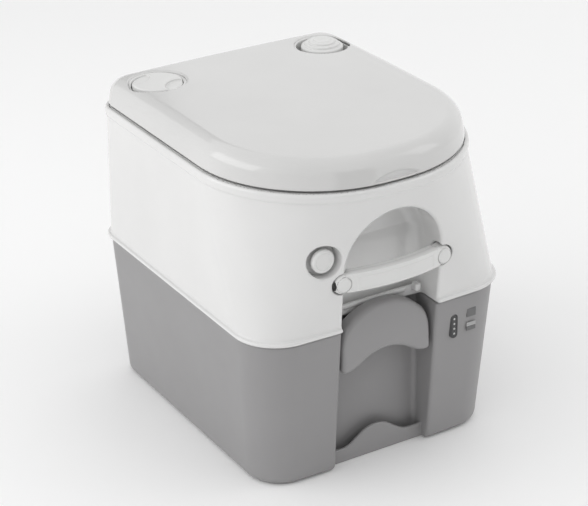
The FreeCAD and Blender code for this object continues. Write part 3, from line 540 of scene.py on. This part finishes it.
def lid_field(x, y, z):
    scoop = both(both(rod(x, z - 298.5, 60), y + 187.6, 3), 350.5 - z, 1.5)
    shape = both(lid_shape(x, y, z), LID_LOW[2] + 1.6 - z, 1.6)
    room = without(lid_shape(x, y, z, 3.0), scoop - 3.0, 3)
    shell = without(without(shape, room, 0.4), scoop, 1.6)
    shell = without(shell, block(x, y, z, (-140, 178, 300), (140, 260, 352.5), 1), 0.8)
    for sign in (-1, 1):
        shell = without(shell, rod(x - sign * TOWER_X, y - TOWER_Y, 32.5), 2.6)
        notch = block(sign * x, y, z, (46, 180, 330), (81.5, 260, 420), 1.5)
        shell = without(shell, notch, 1)
        ear = both(*hinge_rod(sign * x, y, z, EYE, EAR_X), 1)
        web = both(block(sign * x, y, z, (EAR_X[0], 171, 361), (EAR_X[1], 187, 375), 1.5),
                   lid_shape(x, y, z, 0.3))
        shell = either(shell, either(ear, web, 2), 1)
        shell = without(shell, both(*hinge_rod(sign * x, y, z, EYE_BORE, (80, 94))), 0.4)
    return shell


def strap_field(x, y, z):
    """The bowed strap: a band with a raised top edge and round, ringed ends."""
    across = np.hypot(x, y - STRAP_FRONT_Y - STRAP_BOW) - STRAP_BOW
    band = both(both(across, -across - 8.5, 2), slab(z, 230.7, 253.3), 3.2)
    ledge = both(both(across + 2.2, -across - 15, 1.5), slab(z, 249, 253.3), 1.8)
    strap = either(both(band, np.abs(x) - 60, 2), both(ledge, np.abs(x) - 56, 4), 2)
    rib = both(both(across - 0.05, -across - 3, 0.5), slab(z, 249.6, 253.3), 1.2)
    panel = both(both(-across - 0.8, slab(z, 233.5, 248.6), 1.5), np.abs(x) - 50, 4)
    strap = without(strap, panel, 0.7)
    strap = either(strap, both(rib, np.abs(x) - 55, 2), 0.5)
    for sign in (-1, 1):
        reach = rod(x - sign * STRAP_X, z - STRAP_Z, 0)
        end = both(reach - 11.4, slab(y, -189.2, -168.5), 5.6)
        end = both(end, ball(x, y, z, (sign * STRAP_X, STRAP_Y, STRAP_Z), 12.9), 2)
        strap = either(strap, end, 1.5)
        ring = both(both(np.abs(reach - 8.4) - 0.5, -end - 0.7, 0.2), y + 180)
        strap = without(strap, ring, 0.4)
        pin = both(strap_rod(y, z, 2.4), slab(sign * x, 60, 71.8), 0.3)
        strap = either(strap, pin, 0.3)
    return strap


def button_field(x, y, z):
    low, high = node_box("flush_button")
    reach = button_rod(x, z, 0)
    head = both(reach - 13.4, slab(y, low[1], low[1] + 7), 2.4)
    dish = both(reach - 9.6, y - low[1] - 0.7, 0.5)
    head = without(head, dish, 0.5)
    return either(head, both(reach - 3.9, slab(y, low[1] + 5, high[1]), 0.4), 0.8)


def cap_field(x, y, z):
    """The filler cap: a round lid with a raised bar to turn it by."""
    low, high = node_box("filler_cap")
    reach = np.hypot(x - CAP[0], y - CAP[1])
    shell = both(reach - 28.9, slab(z, low[2], high[2] - 0.5), 2.2)
    shell = without(shell, both(reach - 22.6, z - (high[2] - 6), 0.5), 0.5)
    u = 0.8 * (x - CAP[0]) + 0.6 * (y - CAP[1])
    v = -0.6 * (x - CAP[0]) + 0.8 * (y - CAP[1])
    for sign in (-1, 1):
        scoop = np.hypot(u / 1.6, sign * v - 23) - 10.5
        shell = without(shell, both(scoop, high[2] - 3.2 - z, 1), 1.2)
    return either(shell, both(reach - 25.5, slab(z, high[2] - 4, high[2] - 3.1), 0.3), 0.5)


def knob_field(x, y, z):
    """The pump knob: three steps, a shallow dish on top and a hollow underside."""
    low, high = node_box("pump_knob")
    reach = np.hypot(x - KNOB[0], y - KNOB[1])
    shape = both(reach - 24.9, slab(z, low[2], high[2] - 6.4), 2.4)
    shape = either(shape, both(reach - 20.6, slab(z, high[2] - 12, high[2] - 3.4), 1.8), 1.0)
    shape = either(shape, both(reach - 15.6, slab(z, high[2] - 12, high[2] - 0.9), 1.6), 1.0)
    shape = either(shape, both(reach - 10.4, slab(z, high[2] - 12, high[2]), 1.4), 0.8)
    shape = without(shape, np.sqrt(reach ** 2 + (z - high[2] - 24) ** 2) - 24.9, 0.5)
    return without(shape, both(reach - 22, z - (high[2] - 16), 1), 0.6)


# ---------------------------------------------------------------- materials

def node_graph(name):
    """A new material with its nodes and links."""
    material = bpy.data.materials.new(name)
    material.use_nodes = True
    return material, material.node_tree.nodes, material.node_tree.links


def plastic(name, colour, rough, grain=900.0, depth=0.05, wear=0.10, sheen_rough=0.06, coat=0.0):
    """Moulded plastic: slow shade drift, fine grain, uneven gloss and paler worn edges."""
    material, nodes, links = node_graph(name)
    shader = nodes["Principled BSDF"]
    place = nodes.new("ShaderNodeTexCoord")
    drift, fine, smudge = (nodes.new("ShaderNodeTexNoise") for _ in range(3))
    for texture, scale, detail in ((drift, 9.0, 3.0), (fine, grain, 2.0), (smudge, 34.0, 6.0)):
        texture.inputs["Scale"].default_value = scale
        texture.inputs["Detail"].default_value = detail
        links.new(place.outputs["Object"], texture.inputs["Vector"])
    shade = nodes.new("ShaderNodeValToRGB")
    shade.color_ramp.elements[0].position = 0.3
    shade.color_ramp.elements[0].color = (*[c * 0.975 for c in colour], 1)
    shade.color_ramp.elements[1].position = 0.7
    shade.color_ramp.elements[1].color = (*[min(1, c * 1.02) for c in colour], 1)
    links.new(drift.outputs["Fac"], shade.inputs["Fac"])
    edges = nodes.new("ShaderNodeNewGeometry")
    edge_mask = nodes.new("ShaderNodeValToRGB")
    edge_mask.color_ramp.elements[0].position = 0.52
    edge_mask.color_ramp.elements[1].position = 0.62
    links.new(edges.outputs["Pointiness"], edge_mask.inputs["Fac"])
    amount = nodes.new("ShaderNodeMath")
    amount.operation = "MULTIPLY"
    amount.inputs[1].default_value = wear
    links.new(edge_mask.outputs["Color"], amount.inputs[0])
    worn = nodes.new("ShaderNodeMix")
    worn.data_type = "RGBA"
    worn.inputs["B"].default_value = (*[min(1, c * 1.25 + 0.03) for c in colour], 1)
    links.new(amount.outputs["Value"], worn.inputs["Factor"])
    links.new(shade.outputs["Color"], worn.inputs["A"])
    links.new(worn.outputs["Result"], shader.inputs["Base Color"])
    gloss = nodes.new("ShaderNodeMapRange")
    gloss.inputs["To Min"].default_value = rough - sheen_rough
    gloss.inputs["To Max"].default_value = rough + sheen_rough
    links.new(smudge.outputs["Fac"], gloss.inputs["Value"])
    links.new(gloss.outputs["Result"], shader.inputs["Roughness"])
    bump = nodes.new("ShaderNodeBump")
    bump.inputs["Strength"].default_value = depth
    bump.inputs["Distance"].default_value = 0.0004
    links.new(fine.outputs["Fac"], bump.inputs["Height"])
    links.new(bump.outputs["Normal"], shader.inputs["Normal"])
    shader.inputs["Coat Weight"].default_value = coat
    shader.inputs["Coat Roughness"].default_value = 0.12
    return material


def steel(name, rough):
    """Drawn spring and pin steel, with a fine grain."""
    material = plastic(name, (0.56, 0.56, 0.57), rough, grain=1500.0, depth=0.12, wear=0.2)
    material.node_tree.nodes["Principled BSDF"].inputs["Metallic"].default_value = 1.0
    return material


WHITE = plastic("white_shell", (0.715, 0.713, 0.708), 0.16, coat=0.35)
# The lid's white is set darker and warmer than the shell's: painted shade standing in for the dimmer
# light on the lid's top.
WHITE_LID_PAINTED_SHADE = plastic("white_lid", (0.63, 0.628, 0.622), 0.13, coat=0.5)
WHITE_FITTINGS = plastic("white_fittings", (0.72, 0.72, 0.712), 0.24, grain=1300.0)
WHITE_BOWL = plastic("white_bowl", (0.70, 0.70, 0.692), 0.14, coat=0.4)
GREY = plastic("grey_tank", (0.285, 0.28, 0.283), 0.42, grain=700.0, depth=0.16, wear=0.16)
GREY_FITTINGS = plastic("grey_fittings", (0.29, 0.285, 0.288), 0.34, grain=900.0, depth=0.10, wear=0.16)
DARK = plastic("dark_trim", (0.06, 0.06, 0.062), 0.30, depth=0.08, wear=0.2)
RUBBER = plastic("black_rubber", (0.018, 0.018, 0.019), 0.62, grain=1800.0, depth=0.3, wear=0.15)
INNER = plastic("inner_plastic", (0.36, 0.37, 0.38), 0.45, depth=0.15)
SPRING = steel("spring_steel", 0.30)
PIN = steel("pin_steel", 0.22)
PALE_DOT = plastic("gauge_dots", (0.52, 0.53, 0.52), 0.35, depth=0.05)
LABEL_GREY = plastic("label_grey", (0.15, 0.15, 0.152), 0.5, depth=0.2)
LABEL_PALE = plastic("label_pale", (0.40, 0.40, 0.40), 0.5, depth=0.2)
MATERIALS = {
    "white_shell": WHITE, "white_lid": WHITE_LID_PAINTED_SHADE, "white_fittings": WHITE_FITTINGS,
    "white_bowl": WHITE_BOWL, "grey_tank": GREY, "grey_fittings": GREY_FITTINGS,
    "dark_trim": DARK, "black_rubber": RUBBER, "inner_plastic": INNER,
    "spring_steel": SPRING, "pin_steel": PIN,
}


# ---------------------------------------------------------------- building the pieces

FINE, MEDIUM, BROAD = 0.9, 1.7, 2.1             # mesh steps in millimetres
LABEL_STEP, DOT_STEP = 0.4, 0.3

PIECES = [
    # piece, field, body, slot, node it stands for, mesh step
    ("tank_shell_look", tank_field, "waste_tank", "grey_tank", "tank_shell", BROAD),
    ("valve_grip_look", grip_field, "valve", "grey_fittings", "valve_grip", 1.3),
    ("gauge_lens_look", lens_field, "waste_tank", "dark_trim", "gauge_lens", 0.5),
    ("pour_spout_look", spout_field, "spout", "grey_fittings", "pour_spout", 1.5),
    ("spout_cap_look", spout_cap_field, "spout_cap", "grey_fittings", "spout_cap", 1.0),
    ("upper_casing_look", casing_field, "upper_unit", "white_shell", "upper_casing", BROAD),
    ("deck_bowl_look", deck_field, "upper_unit", "white_bowl", "deck_bowl", MEDIUM),
    ("seat_look", seat_field, "seat", "white_fittings", "seat", MEDIUM),
    ("lid_look", lid_field, "lid", "white_lid", "lid", MEDIUM),
    ("carry_handle_look", strap_field, "handle", "white_fittings", "carry_handle", FINE),
    ("flush_button_look", button_field, "button", "white_fittings", "flush_button", 0.7),
    ("filler_cap_look", cap_field, "water_cap", "white_fittings", "filler_cap", FINE),
    ("pump_knob_look", knob_field, "pump", "white_fittings", "pump_knob", FINE),
]


def build_pieces():
    for name, field, body, slot, node, step in PIECES:
        low, high = node_box(node)
        piece = add_field(name, field, low, high, step)
        stand_for(piece, body, MATERIALS[slot], slot, node)


def build_labels():
    """Two blank labels; the lower one has a pale upper half."""
    low, high = node_box("blank_labels")
    middle_z = (low[2] + high[2]) / 2
    rows = [
        ("label_upper", middle_z + 3.5, high[2], LABEL_GREY),
        ("label_lower_pale", low[2] + 5.2, low[2] + 10, LABEL_PALE),
        ("label_lower_dark", low[2], low[2] + 5, LABEL_GREY),
    ]
    for index, (name, bottom, top, material) in enumerate(rows):
        corners = ((low[0], low[1], bottom), (high[0], high[1], top))

        def plate(x, y, z):
            return block(x, y, z, corners[0], corners[1], 0.5)

        piece = add_field(name, plate, corners[0], corners[1], LABEL_STEP)
        replaced = ("blank_labels",) if index == 0 else ()
        stand_for(piece, "waste_tank", material, "dark_trim", *replaced)


def build_gauge_dots():
    """Four pale marks down the level window."""
    low, high = node_box("gauge_lens")
    centre = (low + high) / 2
    pitch = 6
    for number in range(4):
        height = centre[2] + 1.5 * pitch - pitch * number

        def dot(x, y, z):
            bead = ball(x, y, z, (centre[0], low[1] + 1.0, height), 1.6)
            return both(bead, low[1] - 0.5 - y, 0.2)

        piece = add_field("gauge_dot_%d" % number, dot, (centre[0] - 2, low[1] - 1, height - 2),
                          (centre[0] + 2, low[1] + 4, height + 2), DOT_STEP)
        stand_for(piece, "waste_tank", PALE_DOT, "dark_trim")


def dress_cad_nodes():
    """Materials for the solids that stay as they came from the frame."""
    replaced = {node for _, _, _, _, node, _ in PIECES} | {"blank_labels"}
    for name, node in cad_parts.items():
        if name in replaced:
            continue
        slot = node.get("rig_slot") or (node.data.materials[0].name if node.data.materials else "")
        for slot_name, material in MATERIALS.items():
            if slot_name in slot:
                node.data.materials.clear()
                node.data.materials.append(material)


build_pieces()
build_labels()
build_gauge_dots()
dress_cad_nodes()


# ---------------------------------------------------------------- floor, light and camera

AIM = Vector((0, 0, 0.2))


def toward(azimuth, elevation):
    """The unit vector from the object to a viewpoint, from angles in degrees."""
    turn, rise = math.radians(azimuth), math.radians(elevation)
    return Vector((math.sin(turn) * math.cos(rise), -math.cos(turn) * math.cos(rise),
                   math.sin(rise)))


def flat_panel(name, width, height, shade, rough):
    """A flat, matt, grey rectangle about the origin."""
    mesh = bpy.data.meshes.new(name)
    w, h = width / 2, height / 2
    mesh.from_pydata([(-w, -h, 0), (w, -h, 0), (w, h, 0), (-w, h, 0)], [], [(0, 1, 2, 3)])
    material, nodes, _ = node_graph(name)
    nodes["Principled BSDF"].inputs["Base Color"].default_value = (shade, shade, shade, 1)
    nodes["Principled BSDF"].inputs["Roughness"].default_value = rough
    mesh.materials.append(material)
    panel = bpy.data.objects.new(name, mesh)
    bpy.context.scene.collection.objects.link(panel)
    return panel


def floor_plane():
    floor = flat_panel("studio_floor", 28.0, 28.0, 0.95, 0.9)
    shader = floor.data.materials[0].node_tree.nodes["Principled BSDF"]
    shader.inputs["Specular IOR Level"].default_value = 0.1
    floor.location.z = -0.0002


def soft_box(name, azimuth, elevation, distance, size, power):
    """A rectangular lamp that looks at the object from the given direction."""
    lamp = bpy.data.lights.new(name, "AREA")
    lamp.shape = "RECTANGLE"
    lamp.size, lamp.size_y = size
    lamp.energy = power
    holder = bpy.data.objects.new(name, lamp)
    away = toward(azimuth, elevation)
    holder.location = AIM + away * distance
    holder.rotation_euler = away.to_track_quat("Z", "Y").to_euler()
    bpy.context.scene.collection.objects.link(holder)


def shade_card(name, azimuth, elevation, distance, size, shade):
    """A grey card out of the camera's sight, for the darker bands in the gloss."""
    card = flat_panel(name, size[0], size[1], shade, 1.0)
    away = toward(azimuth, elevation)
    card.location = AIM + away * distance
    card.rotation_euler = away.to_track_quat("Z", "Y").to_euler()


def studio_world(strength):
    world = bpy.data.worlds.new("studio")
    world.use_nodes = True
    world.node_tree.nodes["Background"].inputs["Color"].default_value = (1, 1, 1, 1)
    world.node_tree.nodes["Background"].inputs["Strength"].default_value = strength
    bpy.context.scene.world = world


def add_camera():
    """The photo's viewpoint: 31 degrees to the left, 26 up, and a slight roll."""
    target, distance = Vector((-0.01133, 0.0024, 0.18875)), 2.24055
    roll = math.radians(-1.15)
    back = toward(-30.72, 25.92)
    right = Vector((0, 0, 1)).cross(back).normalized()
    up = back.cross(right)
    rolled_right = math.cos(roll) * right + math.sin(roll) * up
    rolled_up = -math.sin(roll) * right + math.cos(roll) * up
    camera_data = bpy.data.cameras.new("photo_view")
    camera_data.sensor_width = 36.0
    camera_data.lens = 120.11
    camera_data.clip_end = 60.0
    camera = bpy.data.objects.new("photo_view", camera_data)
    rotation = Matrix((rolled_right, rolled_up, back)).transposed()
    camera.matrix_world = Matrix.Translation(target + back * distance) @ rotation.to_4x4()
    bpy.context.scene.collection.objects.link(camera)
    bpy.context.scene.camera = camera


floor_plane()
studio_world(0.95)
soft_box("left_box", -105, 24, 2.6, (2.2, 1.4), 14)
soft_box("right_box", 60, 35, 3.0, (1.2, 1.6), 5)
shade_card("front_card", 2, 8, 3.6, (2.2, 2.6), 0.10)
shade_card("rear_card", 178, 26, 3.4, (2.4, 1.8), 0.35)
add_camera()
bpy.context.scene.view_settings.view_transform = "Standard"
